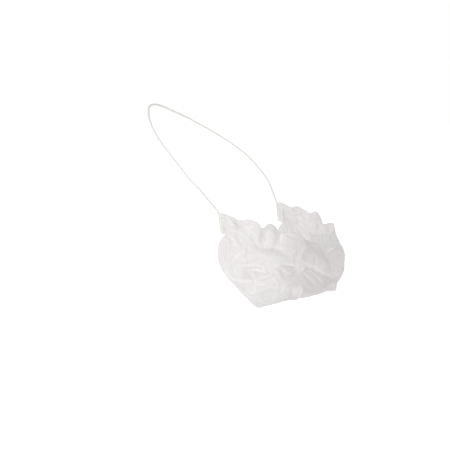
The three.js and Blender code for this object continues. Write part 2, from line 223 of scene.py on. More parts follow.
# Crisp folds, with their paths of (at, down) in thousandths. Each is a ridge, or a valley where its
# height is negative. After its width and height comes how much of it repeats, mirrored, on the
# wearer's left, if that isn't the usual share.
FOLDS = [
    Fold([(-990, 300), (-969, 271), (-939, 141), (-892, 68)], 0.6, -0.6),
    Fold([(-985, 420), (-955, 330), (-915, 235), (-851, 217), (-798, 222)], 0.7, -1),
    Fold([(-960, 247), (-909, 135), (-866, 127)], 0.7, 0.7),
    Fold([(-985, 550), (-960, 420), (-914, 257)], 0.7, 0.8),
    Fold([(-962, 772), (-937, 431), (-905, 267)], 0.6, 0.7),
    Fold([(-965, 700), (-940, 360)], 0.5, -0.6),
    Fold([(-985, 979), (-977, 834), (-950, 600)], 0.6, 0.6),
    Fold([(-960, 930), (-922, 800), (-914, 526)], 0.6, -0.6),
    Fold([(-891, 44), (-866, 85), (-803, 114), (-767, 132), (-742, 158)], 0.8, -0.9),
    Fold([(-835, 60), (-782, 79), (-737, 89)], 0.6, 0.7),
    Fold([(-859, 39), (-827, 41), (-793, 30)], 0.5, -0.5),
    Fold([(-835, 54), (-763, 39)], 0.5, 0.4),
    Fold([(-758, 157), (-721, 166), (-654, 157), (-563, 147)], 1.6, -1, 0.9),
    Fold([(-835, 231), (-885, 330), (-902, 461), (-903, 588)], 1.2, 0.9),
    Fold([(-863, 307), (-891, 425)], 0.6, -0.6),
    Fold([(-893, 441), (-824, 329), (-771, 272), (-716, 240)], 0.6, -0.7),
    Fold([(-890, 479), (-849, 374), (-770, 301), (-713, 291), (-679, 297)], 0.7, 1),
    Fold([(-836, 384), (-758, 313), (-694, 304)], 0.5, -0.7),
    Fold([(-821, 383), (-758, 330), (-701, 318), (-672, 327)], 0.6, 0.8),
    Fold([(-686, 285), (-670, 327)], 0.5, 0.6),
    Fold([(-897, 626), (-896, 520), (-889, 437)], 0.6, -0.6),
    Fold([(-880, 900), (-868, 722), (-852, 580), (-810, 474), (-779, 432)], 0.9, 0.9),
    Fold([(-777, 357), (-756, 391), (-734, 436)], 0.6, 0.6),
    Fold([(-786, 390), (-773, 415), (-755, 451)], 0.6, -0.7),
    Fold([(-740, 342), (-706, 350), (-676, 353), (-627, 338)], 0.6, -0.6),
    Fold([(-710, 383), (-665, 373), (-632, 352)], 0.6, 0.8),
    Fold([(-704, 402), (-658, 389), (-619, 365), (-593, 340)], 0.6, -0.9),
    Fold([(-728, 434), (-698, 437), (-673, 434)], 0.5, 0.5),
    Fold([(-720, 448), (-683, 453), (-660, 449)], 0.5, -0.6),
    Fold([(-732, 458), (-758, 516), (-784, 572)], 0.6, 0.6),
    Fold([(-613, 373), (-570, 411), (-561, 441)], 0.6, 0.6),
    Fold([(-549, 415), (-539, 484), (-520, 594)], 0.8, -0.8),
    Fold([(-703, 88), (-680, 121), (-657, 91)], 0.6, 0.7),
    Fold([(-534, 14), (-500, 28), (-447, 55)], 0.6, -0.7),
    Fold([(-420, 25), (-427, 66), (-427, 107)], 0.9, -0.6),
    Fold([(-423, 121), (-425, 161), (-442, 191), (-436, 221)], 0.7, -1.1),
    Fold([(-476, 158), (-435, 119)], 0.7, 0.8),
    Fold([(-328, 53), (-370, 111), (-389, 159), (-387, 183)], 1.1, 0.9),
    Fold([(-352, 206), (-307, 226), (-258, 246)], 0.5, 0.6),
    Fold([(-384, 190), (-333, 229), (-286, 249), (-242, 272), (-203, 299), (-124, 320)], 0.6, 0.7),
    Fold([(-350, 254), (-301, 272), (-242, 308), (-180, 339), (-90, 374)], 1.2, -0.9, 0.6),
    Fold([(-374, 288), (-323, 348), (-243, 446)], 0.6, 0.7, 0.6),
    Fold([(-317, 279), (-268, 323), (-211, 389), (-89, 506)], 0.7, 1.2, 0.4),
    Fold([(-362, 330), (-322, 394), (-259, 474)], 0.8, -0.6, 0.6),
    Fold([(-295, 314), (-238, 385), (-167, 458)], 0.8, -0.6, 0.4),
    Fold([(-79, 473), (-54, 410)], 0.6, 0.8, 0),
    Fold([(-50, 440), (0, 490), (70, 545)], 2.5, 11, 0),
    Fold([(-419, 255), (-403, 320), (-354, 247)], 0.8, 0.9),
    Fold([(-342, 262), (-381, 300), (-392, 354), (-376, 420), (-328, 515)], 0.8, -1.1),
    Fold([(-551, 254), (-512, 259), (-449, 258)], 0.6, -0.9),
    Fold([(-483, 248), (-447, 241)], 0.5, 0.6),
    Fold([(-583, 288), (-553, 318), (-516, 366), (-481, 380)], 0.6, -0.9),
    Fold([(-547, 296), (-521, 331), (-465, 350)], 0.6, -0.9),
    Fold([(-537, 284), (-499, 312), (-463, 326)], 0.8, 0.9),
    Fold([(-526, 486), (-492, 435), (-467, 414)], 0.6, 0.7),
    Fold([(-458, 392), (-422, 440)], 0.6, -0.8),
    Fold([(-91, 31), (-42, 82)], 0.6, 0.8, 0.6),
    Fold([(-110, 119), (-33, 107), (49, 100)], 0.6, 0.9, 0.6),
    Fold([(-64, 136), (-6, 116)], 0.6, -0.7, 0.6),
    Fold([(-660, 660), (-580, 780)], 1.6, 0.8, 1),
    Fold([(-450, 460), (-430, 560), (-400, 640), (-380, 750)], 2.1, -2.8, 1),
    Fold([(-360, 500), (-335, 600), (-300, 720)], 1.6, 2.8, 1),
    Fold([(-130, 450), (-100, 520), (-60, 620)], 1.7, -4.5, 0.5),
    Fold([(-220, 660), (-180, 950)], 1.4, 0.8, 1),
]

# The two edges of the dome that the cloth makes beside the middle of its top edge, in thousandths
DOME_TOP = [(-395, 153), (-359, 101), (-300, 42), (-277, 28), (-222, 55), (-189, 86), (-164, 113),
            (-148, 155), (-140, 195), (-124, 246), (-90, 316)]
DOME_FOOT = [(-62, 351), (-124, 335), (-191, 312), (-245, 281), (-302, 256), (-351, 230), (-388, 191)]

# Laps, where the cloth on the right hand of the path, seen from outside, stands over the rest. It is
# highest at the crest's distance from the path.
OVERLAPS = [
    Overlap(DOME_TOP, 26 * MM, 9 * MM, 2.2 * MM, 0.6),
    Overlap([(-600, 160), (-583, 98), (-576, 70), (-559, 26), (-550, -20)], 24 * MM, 7 * MM, 1.6 * MM,
            0.8),
    Overlap([(-719, 64), (-703, 21), (-661, 36), (-641, 45), (-612, 60), (-582, 68)],
            14 * MM, 4 * MM, 1.0 * MM, 0.8),
    Overlap([(-728, 150), (-724, 74), (-716, 20), (-714, -20)], 15 * MM, 4 * MM, -1.0 * MM, 0.8),
    Overlap(DOME_FOOT, 18 * MM, 6 * MM, 1.5 * MM, 0.6),
]

# Outlines of the stretches that get painted shade, such as the dome and the hollow under it, and how
# much darker the painted shade makes them
PAINTED_SHADE_PATCHES = [
    Layer(DOME_TOP + DOME_FOOT, 0.42, 0.4),
    Layer([(-350, 250), (-301, 268), (-242, 300), (-180, 330), (-90, 364), (-30, 390), (20, 500),
           (-90, 560), (-200, 600), (-300, 580), (-328, 515), (-376, 420), (-392, 354), (-381, 300)],
          0.6, 0.3),
    Layer([(-719, 64), (-703, 21), (-680, -50), (-600, -50), (-582, 68), (-612, 60), (-641, 45),
           (-661, 36)], 0.5, 0.8),
    Layer([(-765, 150), (-664, 147), (-552, 140), (-530, 180), (-655, 200), (-750, 190)], 0.4, 0.8),
    Layer([(-840, 380), (-760, 335), (-700, 330), (-710, 370), (-770, 415), (-810, 460), (-850, 520)],
          0.35, 0.8),
    Layer([(-583, 288), (-551, 254), (-449, 258), (-400, 300), (-390, 480), (-470, 460), (-530, 380)],
          0.5, 0.5),
]

# Stretches that are smoother or more crumpled than the rest of the cloth, with their share of facets
AREAS = [
    Area(-0.43, 0.08, 0.14, 0.35),
    Area(-0.22, 0.18, 0.14, 0.25),
    Area(-0.48, 0.42, 0.14, 1.8),
    Area(-0.60, 0.85, 0.20, 0.5),
    Area(0.45, 0.10, 0.14, 0.4),
]

# The elastic's middle line on the wearer's right, from its end in the weld to the mid-plane at the
# back, in millimetres. The left side is the same, mirrored.
ELASTIC_ROUTE_MM = list(starmap(ElasticPoint, [
    (-65, 63.7, 30.5), (-65, 64.7, 38.5), (-65, 65.7, 46.5), (-65.1, 66.3, 49.8), (-67.2, 69.6, 55.3),
    (-70.5, 73.9, 61.7), (-75, 82.1, 73.1), (-77, 92.5, 83.5), (-76, 103.3, 94.6),
    (-71.5, 115.6, 105.1), (-64, 129.6, 115.9), (-53, 143.6, 126.4), (-40, 155.5, 135.5),
    (-24, 166.2, 143.7), (-8, 173, 149.7),
]))
ELASTIC_EXIT_POINT = 3


# Settings that a user would change

def length(name, description, default):
    return bpy.props.FloatProperty(name=name, description=description, default=default, unit="LENGTH",
                                   precision=5)


def number(name, description, default, subtype="NONE"):
    return bpy.props.FloatProperty(name=name, description=description, default=default, subtype=subtype)


def count(name, description, default):
    return bpy.props.IntProperty(name=name, description=description, default=default)


def colour(name, description, default):
    return bpy.props.FloatVectorProperty(name=name, description=description, default=default, size=3,
                                         min=0.0, max=1.0, subtype="COLOR")


class BeardNetPouch(bpy.types.PropertyGroup):
    """The ruffled pouch"""
    columns: count("Columns", "Cloth squares from end to end, a multiple of four", 400)
    rows: count("Rows", "Cloth squares from edge to edge, a multiple of four", 120)
    thickness: length("Thickness", "Thickness of the finished cloth", 0.3 * MM)
    ruffle_rise: length("Ruffle Rise", "How far the highest lobe stands up", 5 * MM)
    ruffle_lean: length("Ruffle Lean", "How far a lobe leans outwards", 3.2 * MM)
    ruffle_fade: length("Ruffle Fade", "How far below the edge the ruffles fade out", 24 * MM)
    fold_width: length("Fold Width", "Half the width of a full fold", 3.2 * MM)
    fold_height: length("Fold Height", "Height of a full fold", 0.5 * MM)
    pleat_height: length("Pleat Height", "Height of the pleats that run out of the seams", 0.2 * MM)
    hem_wave: length("Hem Wave", "How far the edge under the throat waves in and out", 1.8 * MM)
    pleat_reach: length("Pleat Reach", "How far the pleats run out of the seams", 36 * MM)
    facet: length("Facet", "Usual width of a papery facet", 14 * MM)
    facet_height: length("Facet Height", "How far the facets' corners stand in and out", 0.65 * MM)
    creases: count("Creases", "Small creases all over", 280)
    crease_height: length("Crease Height", "Height of the small creases", 0.12 * MM)
    # Width of the soft edge of the painted shade on the shaded stretches
    layer_edge: length("Layer Edge", "Width over which doubled cloth turns duller", 1.4 * MM)
    growth: number("Growth", "Spare cloth that the simulation adds", 0.006, "FACTOR")
    stiffness: number("Stiffness", "Bending stiffness while it settles", 3)
    flat_length: length("Flat Length", "Length of the cut sheet, from seam to seam", 300 * MM)
    flat_width: length("Flat Width", "Width of the cut sheet", 105 * MM)
    white: colour("White", "Colour of the cloth", (0.848, 0.831, 0.829))
    # Shade: the painted shade in the creases; the bond points also lean a little towards it as their own
    # tone
    shade: colour("Shade", "Colour of the cloth down in its folds", (0.824, 0.8, 0.795))
    # Colour of the painted shade on the dome, the hollow under it and the other shaded stretches
    painted_shade_colour: colour("Doubled", "Colour of the cloth where it lies double", (0.742, 0.716, 0.715))


class BeardNetElastic(bpy.types.PropertyGroup):
    """The elastic"""
    diameter: length("Diameter", "Diameter over the braid", 2 * MM)
    yarn_pitch: length("Yarn Pitch", "Length of one turn of a yarn", 5.2 * MM)
    yarn_depth: length("Yarn Depth", "Depth of the grooves between yarns", 0.16 * MM)
    yarns: count("Yarns", "Yarns that run each way round", 4)
    colour: colour("Colour", "Colour of the yarn", (0.79, 0.77, 0.725))


class BeardNetSeams(bpy.types.PropertyGroup):
    """The welded ends"""
    pleats: count("Pleats", "Pleats pressed into one seam", 9)
    thickness: length("Thickness", "Thickness of the pressed pleats", 1.6 * MM)
    depth: length("Depth", "Depth of the weld, up to the elastic", 5.3 * MM)
    lap: length("Lap", "How far the weld laps onto the cloth", 1.0 * MM)
    rib: length("Rib", "How far each pleat stands out", 0.4 * MM)
    rows: count("Weld Rows", "Rows of weld points along one seam", 13)
    weld_size: length("Weld Size", "Diameter of one weld point", 0.8 * MM)
    colour: colour("Colour", "Colour of the welded cloth", (0.765, 0.75, 0.74))


class BeardNetStage(bpy.types.PropertyGroup):
    """Floor, light and camera"""
    azimuth: number("Azimuth", "Camera's angle round the part", math.radians(-63), "ANGLE")
    elevation: number("Elevation", "Camera's angle above the part", math.radians(6), "ANGLE")
    distance: length("Distance", "Camera's distance", 1.6)
    lens: number("Lens", "Focal length in millimetres", 128)
    floor_drop: length("Floor Drop", "How far the floor lies below the part's origin", 0.125)
    key: number("Key Light", "Power of the soft main light", 9.4)
    sky: number("Sky Light", "Strength of the light all round", 0.73)


# The smooth pouch

def tangents_through(stations, points):
    """Slopes of a smooth curve at its points, which may be arrays of any shape"""
    gaps = np.diff(stations).reshape((-1,) + (1,) * (points.ndim - 1))
    slopes = np.diff(points, axis=0) / gaps
    before, after = gaps[:-1], gaps[1:]
    inner = (slopes[:-1] * after + slopes[1:] * before) / (before + after)
    return np.concatenate([slopes[:1], inner, slopes[-1:]])


def find_span(stations, x):
    """The station before each x, x's share of the way to the next one, and the way's length"""
    left = np.clip(np.searchsorted(stations, x, side="right") - 1, 0, len(stations) - 2)
    span = stations[left + 1] - stations[left]
    return left, (x - stations[left]) / span, span


def between(t, span, start, finish, leaving, arriving):
    """Smooth curve from start to finish at the share t, with the slopes at its two ends"""
    return ((1 + 2 * t) * (1 - t) ** 2 * start + t * t * (3 - 2 * t) * finish
            + span * t * (1 - t) ** 2 * leaving + span * t * t * (t - 1) * arriving)


def curve_through(stations, points, x):
    """Smooth curve through points at unevenly spaced stations. Points may be arrays of any shape."""
    stations = np.asarray(stations, float)
    points = np.asarray(points, float)
    tangents = tangents_through(stations, points)
    left, t, span = find_span(stations, np.asarray(x, float))
    wide = t.shape + (1,) * (points.ndim - 1)
    return between(t.reshape(wide), span.reshape(wide), points[left], points[left + 1], tangents[left],
                   tangents[left + 1])


def from_corners(across, forward, below):
    return np.array([across, CORNER_BACK - forward, CORNER_HEIGHT - below])


def gather_point(share, side):
    """The gathered end of the cloth, from its top corner at 0 to its lower end at 1"""
    return from_corners(side * CORNER_HALF_SPREAD, SEAM_LEAN * share, GATHER_HEIGHT * share)


def guide_curve(line):
    """Stations and points of a guide line, from seam to seam"""
    def half(way):
        return [(way * at, from_corners(way * side * CORNER_HALF_SPREAD, forward * line.reach,
                                        fall * line.drop))
                for at, side, forward, fall in zip(STATIONS, line.side, line.forward, line.fall)]
    across = [(-1.0, gather_point(line.seam, -1)), *half(-1)[:0:-1],
              *half(1), (1.0, gather_point(line.seam, 1))]
    return [at for at, _ in across], np.array([point for _, point in across])


GUIDES = [guide_curve(line) for line in GUIDE_LINES]
PLACES = np.array([line.place for line in GUIDE_LINES])


def smooth_pouch(at, down):
    """Points of the smooth pouch for arrays at and down of one shape"""
    shape = at.shape
    at, down = at.ravel(), down.ravel()
    guides = np.stack([curve_through(stations, points, at) for stations, points in GUIDES])
    tangents = tangents_through(PLACES, guides)
    left, t, span = find_span(PLACES, down)
    k = np.arange(at.size)
    points = between(t[:, None], span[:, None], guides[left, k], guides[left + 1, k],
                     tangents[left, k], tangents[left + 1, k])
    return points.reshape(shape + (3,))


def grid_normals(points):
    """Outward normals of a grid of points with rows down the cloth and columns along it"""
    below = np.gradient(points, axis=0)
    along = np.gradient(points, axis=1)
    normals = np.cross(below, along)
    return normals / np.maximum(np.linalg.norm(normals, axis=2, keepdims=True), 1e-12)


# Ruffles, folds and creases

def bell(distance, reach):
    """1 at no distance, falling smoothly to 0 at the reach"""
    return np.where(distance < reach, 0.5 + 0.5 * np.cos(np.pi * np.minimum(distance / reach, 1)), 0)


def tent(distance, reach):
    """1 at no distance with a crisp crest, falling to 0 at the reach"""
    return np.clip(1 - distance / reach, 0, 1) ** CREST_POWER


def rising(value, start, over):
    """0 up to the start, rising evenly to 1 over the given span"""
    return np.clip((value - start) / over, 0, 1)


def fading_ends(share, fade, least=0):
    """1 along a path, falling to the least at its two ends"""
    return np.clip(np.minimum(share, 1 - share) / fade, least, 1)


def chain_of(path, steps=5):
    """A path of (at, down) as closely spaced points on the smooth pouch"""
    last = len(path) - 1
    places = curve_through(np.arange(len(path)), path, np.linspace(0, last, last * steps + 1))
    return smooth_pouch(np.clip(places[:, 0], -1, 1), np.clip(places[:, 1], -0.05, 1.05))


def measure_from(chain, points, normals, reach):
    """Distance, signed side and share along a chain for each point within reach of it"""
    low, high = chain.min(axis=0) - reach, chain.max(axis=0) + reach
    near = np.nonzero(((points > low) & (points < high)).all(axis=1))[0]
    here, best = points[near], np.full(near.size, np.inf)
    side, share = np.zeros(near.size), np.zeros(near.size)
    steps = len(chain) - 1
    for i in range(steps):
        step = chain[i + 1] - chain[i]
        t = np.clip((here - chain[i]) @ step / max(step @ step, 1e-18), 0, 1)
        away = here - (chain[i] + t[:, None] * step)
        distance = np.linalg.norm(away, axis=1)
        closer = distance < best
        best = np.where(closer, distance, best)
        turned = np.einsum("ij,ij->i", np.cross(step, away), normals[near])
        side = np.where(closer, -np.sign(turned), side)
        share = np.where(closer, (i + t) / steps, share)
    return near, best, side, share


def both_halves(items):
    """Each item with its path in shares, and its weaker repeat on the wearer's left, mirrored and
    shifted a little"""
    for item in items:
        path = [(at / 1000, down / 1000) for at, down in item.path]
        yield item._replace(path=path), 1.0, False
        if item.other_half:
            mirrored = [(-at - OTHER_SHIFT * math.sin(9 * down + 5 * at),
                         down * (1 + OTHER_STRETCH * math.sin(8 * at))) for at, down in path]
            yield item._replace(path=mirrored), item.other_half, True


def fold_lift(points, normals, settings):
    """Height of the folds at each point"""
    lift = np.zeros(len(points))
    for fold, strength, _ in both_halves(FOLDS):
        reach = fold.width * settings.fold_width
        near, distance, _, _ = measure_from(chain_of(fold.path), points, normals, reach)
        lift[near] += strength * fold.height * settings.fold_height * tent(distance, reach)
    return lift


def painted_fold_lines(points, normals):
    """Thin painted lines along the folds: 1 for a painted highlight on a ridge and -1 for painted shade in a
    valley
    """
    line = np.zeros(len(points))
    for fold, strength, _ in both_halves(FOLDS):
        near, distance, _, share = measure_from(chain_of(fold.path), points, normals, LINE_REACH)
        # Painted light: a highlight along a ridge, shade along a valley
        pressed = strength * np.sign(fold.height) * bell(distance, LINE_REACH)
        line[near] += pressed * fading_ends(share, LINE_ENDS)
    return np.clip(line, -1, 1)


def overlap_lift(points, normals, edge):
    """Height of the laps at each point, with the given softness of their edge"""
    lift = np.zeros(len(points))
    for lap, strength, mirrored in both_halves(OVERLAPS):
        near, distance, side, share = measure_from(chain_of(lap.path), points, normals, lap.fade)
        signed = distance * side * (-1 if mirrored else 1)
        step = np.clip((signed + edge) / (2 * edge), 0, 1)
        inside = np.maximum(signed, 0)
        beyond = bell(np.maximum(inside - lap.crest, 0), lap.fade - lap.crest)
        swell = (1 - LAP_DIP * bell(inside, lap.crest)) * beyond
        raised = step * step * (3 - 2 * step) * swell
        lift[near] += strength * lap.height * raised * fading_ends(share, LAP_ENDS)
    return lift


def folded(grid, normals, settings, lap_share, lap_edge):
    """Half the height of the folds and a share of the laps' height, for a grid of points"""
    points, normals = grid.reshape(-1, 3), normals.reshape(-1, 3)
    lift = 0.5 * fold_lift(points, normals, settings) + lap_share * overlap_lift(points, normals, lap_edge)
    return lift.reshape(grid.shape[:2])


def crease_lift(grid, normals, settings):
    """Small crisp creases scattered over the cloth, some ridges and some valleys"""
    random = np.random.default_rng(CREASE_DRAW)
    points, normals = grid.reshape(-1, 3), normals.reshape(-1, 3)
    lift = np.zeros(len(points))
    for _ in range(settings.creases):
        at, down = random.uniform(-0.97, 0.97), random.uniform(0.02, 0.98)
        turn, run = random.uniform(0, np.pi), random.uniform(*CREASE_RUN)
        bend = random.uniform(-0.4, 0.4)
        reach = random.uniform(*CREASE_REACH_MM) * MM
        height = random.choice([-1, 1]) * random.uniform(*CREASE_SHARE) * settings.crease_height
        half = np.array([np.cos(turn) * run, np.sin(turn) * run * DOWN_PER_ALONG])
        hook = np.array([np.cos(turn + bend) * run, np.sin(turn + bend) * run * DOWN_PER_ALONG])
        middle = np.array([at, down])
        chain = chain_of([middle - half, middle, middle + hook], steps=3)
        near, distance, _, share = measure_from(chain, points, normals, reach)
        lift[near] += height * tent(distance, reach) * fading_ends(share, CREASE_ENDS, 0.25)
    return lift.reshape(grid.shape[:2])


def facet_lift(at, down, facet, settings, seed):
    """Papery facets as shares from -1 to 1: random heights joined by straight creases"""
    random = np.random.default_rng(seed)
    columns, rows = round(settings.flat_length / facet), round(settings.flat_width / facet)
    corners, heights = [], []
    for i in range(-1, columns + 2):
        for j in range(-1, rows + 2):
            jitter = random.uniform(-FACET_JITTER, FACET_JITTER, 2)
            corners.append(Vector(((i + jitter[0]) / columns, (j + jitter[1]) / rows)))
            heights.append(random.uniform(-1, 1))
    corners, _, triangles, sources, _, _ = delaunay_2d_cdt(corners, [], [], 0, 1e-6)
    heights = [heights[source[0]] for source in sources]
    u, v = (at + 1) / 2, down
    lift = np.zeros_like(u)
    for triangle in triangles:
        a, b, c = (corners[k] for k in triangle)
        left, right = min(a.x, b.x, c.x), max(a.x, b.x, c.x)
        top, bottom = min(a.y, b.y, c.y), max(a.y, b.y, c.y)
        cols = slice(*np.searchsorted(u[0], (left, right)) + np.array((0, 1)))
        lines = slice(*np.searchsorted(v[:, 0], (top, bottom)) + np.array((0, 1)))
        du, dv = u[lines, cols] - c.x, v[lines, cols] - c.y
        area = (b.y - c.y) * (a.x - c.x) + (c.x - b.x) * (a.y - c.y)
        first = ((b.y - c.y) * du + (c.x - b.x) * dv) / area
        second = ((c.y - a.y) * du + (a.x - c.x) * dv) / area
        third = 1 - first - second
        inside = np.minimum(np.minimum(first, second), third) >= -1e-9
        value = first * heights[triangle[0]] + second * heights[triangle[1]] + third * heights[triangle[2]]
        lift[lines, cols] = np.where(inside, value, lift[lines, cols])
    return lift


def painted_shade_share(at, down, settings):
    """How much painted shade each point gets from the outlines of the shaded stretches"""
    size = np.array((settings.flat_length / 2, settings.flat_width))
    flat = np.stack([at, down], axis=2) * size
    share = np.zeros_like(at)
    for layer, strength, _ in both_halves(PAINTED_SHADE_PATCHES):
        outline = np.array(layer.path) * size
        distance, inside = np.full(at.shape, np.inf), np.zeros(at.shape, dtype=bool)
        for a, b in zip(outline, np.roll(outline, -1, axis=0)):
            step = b - a
            t = np.clip((flat - a) @ step / (step @ step), 0, 1)
            distance = np.minimum(distance, np.linalg.norm(flat - a - t[..., None] * step, axis=2))
            if a[1] != b[1]:
                meets = a[0] + (flat[..., 1] - a[1]) * step[0] / step[1]
                inside ^= ((a[1] > flat[..., 1]) != (b[1] > flat[..., 1])) & (flat[..., 0] < meets)
        signed = np.where(inside, distance, -distance)
        edge = np.clip(0.5 + signed / settings.layer_edge, 0, 1)
        share = np.maximum(share, strength * layer.share * edge)
    return share


def seam_distance(grid, at, down):
    """How far each point lies from the gathered end on its side"""
    side = np.where(at < 0, -1.0, 1.0)
    back = CORNER_BACK - SEAM_LEAN * down
    ends = np.stack([side * CORNER_HALF_SPREAD, back, CORNER_HEIGHT - GATHER_HEIGHT * down], axis=2)
    return np.linalg.norm(grid - ends, axis=2)


def neighbours(grid):
    """The sum of the four neighbours of each inner point"""
    return grid[:-2, 1:-1] + grid[2:, 1:-1] + grid[1:-1, :-2] + grid[1:-1, 2:]


def relaxed(grid, weight, rounds):
    """The grid with each point drawn towards its neighbours, by its weight"""
    grid = grid.copy()
    for _ in range(rounds):
        grid[1:-1, 1:-1] += weight[1:-1, 1:-1, None] * (neighbours(grid) / 4 - grid[1:-1, 1:-1])
    return grid


def shaped_pouch(settings):
    """The cloth's middle surface before it settles: ruffles, laps, pleats and half of each fold"""
    down, at = np.meshgrid(np.linspace(0, 1, settings.rows + 1),
                           np.linspace(-1, 1, settings.columns + 1), indexing="ij")
    grid = smooth_pouch(at, down)
    normals = grid_normals(grid)
    lift = folded(grid, normals, settings, *SOFT_LAP)

    stations = [r.at for r in RUFFLES]
    rise = curve_through(stations, [r.rise for r in RUFFLES], at[0])
    lean = curve_through(stations, [r.lean for r in RUFFLES], at[0])
    ruffle = bell(np.linalg.norm(grid - grid[:1], axis=2), settings.ruffle_fade)
    from_seam = seam_distance(grid, at, down)
    free = 1 - bell(from_seam, RUFFLE_FREE)
    waves = 1 - 2 * np.abs(((PLEATS_DOWN * down + 0.18 * np.sin(7 * down)) % 1) * 2 - 1) ** 1.4
    pleats = waves * bell(from_seam, settings.pleat_reach) * np.clip(from_seam / PLEAT_START, 0.1, 1)
    hem = sum(part * np.sin(rate * at + shift) for part, rate, shift in HEM_WAVES)
    hem = bell(1 - down, HEM_FADE) * hem * settings.hem_wave
    grid = grid + normals * ((lift + lean * settings.ruffle_lean * ruffle + hem) * free
                             + settings.pleat_height * pleats)[..., None]
    grid[..., 2] += rise * settings.ruffle_rise * ruffle * free
    gathered = rising(np.abs(at), 0.84, 0.08) * rising(down, 0.12, 0.2)
    return at, down, relaxed(grid, 0.8 * gathered, RELAXING_ROUNDS)


def creased(at, down, grid, settings):
    """The settled cloth with its crisp folds, the edges of its laps, its facets and small creases"""
    base = smooth_pouch(at, down)
    normals = grid_normals(base)
    lift = folded(base, normals, settings, *CRISP_LAP) + crease_lift(base, normals, settings)
    large, small = FACET_DRAWS
    facets = facet_lift(at, down, settings.facet, settings, large)
    facets += SMALL_FACET_SHARE * facet_lift(at, down, settings.facet / SMALL_FACETS, settings, small)
    calm = np.ones_like(at)
    for area in AREAS:
        off = np.hypot((at - area.at) / area.reach, (down - area.down) / (AREA_TALLNESS * area.reach))
        calm *= 1 + (area.crumple - 1) * bell(off, 1.0)
    lift += settings.facet_height * facets * calm
    free = 1 - 0.9 * bell(seam_distance(base, at, down), CREASE_FREE)
    return grid + grid_normals(grid) * (lift * free)[..., None]


# Meshes

def new_object(name, data):
    piece = bpy.data.objects.new(name, data)
    bpy.context.collection.objects.link(piece)
    return piece


def grid_mesh(name, grid, uv):
    """A quad mesh of a grid of points, with its UV map in metres of cloth"""
    rows, columns = grid.shape[0] - 1, grid.shape[1] - 1
    index = np.arange((rows + 1) * (columns + 1)).reshape(rows + 1, columns + 1)
    faces = np.stack([index[:-1, :-1], index[1:, :-1], index[1:, 1:], index[:-1, 1:]], axis=2)
    mesh = bpy.data.meshes.new(name)
    mesh.from_pydata(grid.reshape(-1, 3).tolist(), [], faces.reshape(-1, 4).tolist())
    layer = mesh.uv_layers.new(name="UVMap")
    corners = np.empty(len(mesh.loops), dtype=np.int32)
    mesh.loops.foreach_get("vertex_index", corners)
    layer.data.foreach_set("uv", uv.reshape(-1, 2)[corners].astype(np.float32).ravel())
    mesh.polygons.foreach_set("use_smooth", np.ones(len(mesh.polygons), dtype=bool))
    mesh.update()
    return mesh


def keep_value(mesh, name, values):
    """Stores one value for each point of the mesh, for its material"""
    layer = mesh.attributes.new(name, "FLOAT", "POINT")
    layer.data.foreach_set("value", values.astype(np.float32).ravel())


def keep_painted_crease_light(mesh, grid, at, down):
    """Stores how far each point lies in a valley, as a mask for painted light: 0 on a crest, which gets a
    painted highlight, through 0.5 to 1 in a crease, which gets painted shade
    """
    around = grid.copy()
    around[1:-1, 1:-1] = neighbours(grid) / 4
    hollow = np.einsum("ijk,ijk->ij", around - grid, grid_normals(grid))
    soft = hollow.copy()
    soft[1:-1, 1:-1] = (2 * hollow[1:-1, 1:-1] + neighbours(hollow)) / 6
    base = smooth_pouch(at, down)
    lines = painted_fold_lines(base.reshape(-1, 3), grid_normals(base).reshape(-1, 3)).reshape(at.shape)
    keep_value(mesh, "depth", np.clip(0.5 + soft / DEEP_CREASE - LINE_SHARE * lines, 0, 1))


def plain_mesh(piece):
    """A plain mesh of a piece as its modifiers leave it"""
    depsgraph = bpy.context.evaluated_depsgraph_get()
    return bpy.data.meshes.new_from_object(piece.evaluated_get(depsgraph))


def make_plain(piece):
    """Turns a mesh with modifiers into a plain one"""
    mesh = plain_mesh(piece)
    mesh.name = piece.name
    piece.modifiers.clear()
    old = piece.data
    piece.data = mesh
    bpy.data.meshes.remove(old)


def settled(at, down, grid, settings):
    """Lets the cloth buckle with a little spare length, loosely held to its shape. A coarse copy of the
    grid is simulated, and how far it moves is spread smoothly over the fine grid."""
    coarse = grid[::SETTLE_STEP, ::SETTLE_STEP]
    rows, columns = coarse.shape[:2]
    piece = new_object("settling", grid_mesh("settling", coarse, np.zeros((rows, columns, 2))))
    hold = piece.vertex_groups.new(name="hold")
    from_end = np.minimum(np.arange(columns), columns - 1 - np.arange(columns)) / columns
    weight = np.tile(np.maximum(np.clip(1 - from_end / HELD_END, 0, 1), LEAST_HOLD), rows)
    for value in np.unique(np.round(weight, 2)):
        members = np.nonzero(np.round(weight, 2) == value)[0]
        hold.add(members.tolist(), float(value), "REPLACE")
    cloth = piece.modifiers.new("Cloth", "CLOTH")
    for name, value in CLOTH.items():
        setattr(cloth.settings, name, value)
    cloth.settings.bending_stiffness = settings.stiffness
    cloth.settings.vertex_group_mass = "hold"
    cloth.settings.shrink_min = -settings.growth
    cloth.settings.effector_weights.gravity = 0
    cloth.collision_settings.use_collision = False
    cloth.point_cache.frame_start = 1
    cloth.point_cache.frame_end = SETTLE_FRAMES
    for step in range(1, SETTLE_FRAMES + 1):
        bpy.context.scene.frame_set(step)
    make_plain(piece)
    bpy.context.scene.frame_set(1)
    places = np.empty(rows * columns * 3)
    piece.data.vertices.foreach_get("co", places)
    bpy.data.objects.remove(piece)
    moved = places.reshape(coarse.shape) - coarse
    moved = curve_through(down[::SETTLE_STEP, 0], moved, down[:, 0])
    moved = curve_through(at[0, ::SETTLE_STEP], moved.swapaxes(0, 1), at[0])
    return grid + moved.swapaxes(0, 1)


# Node building

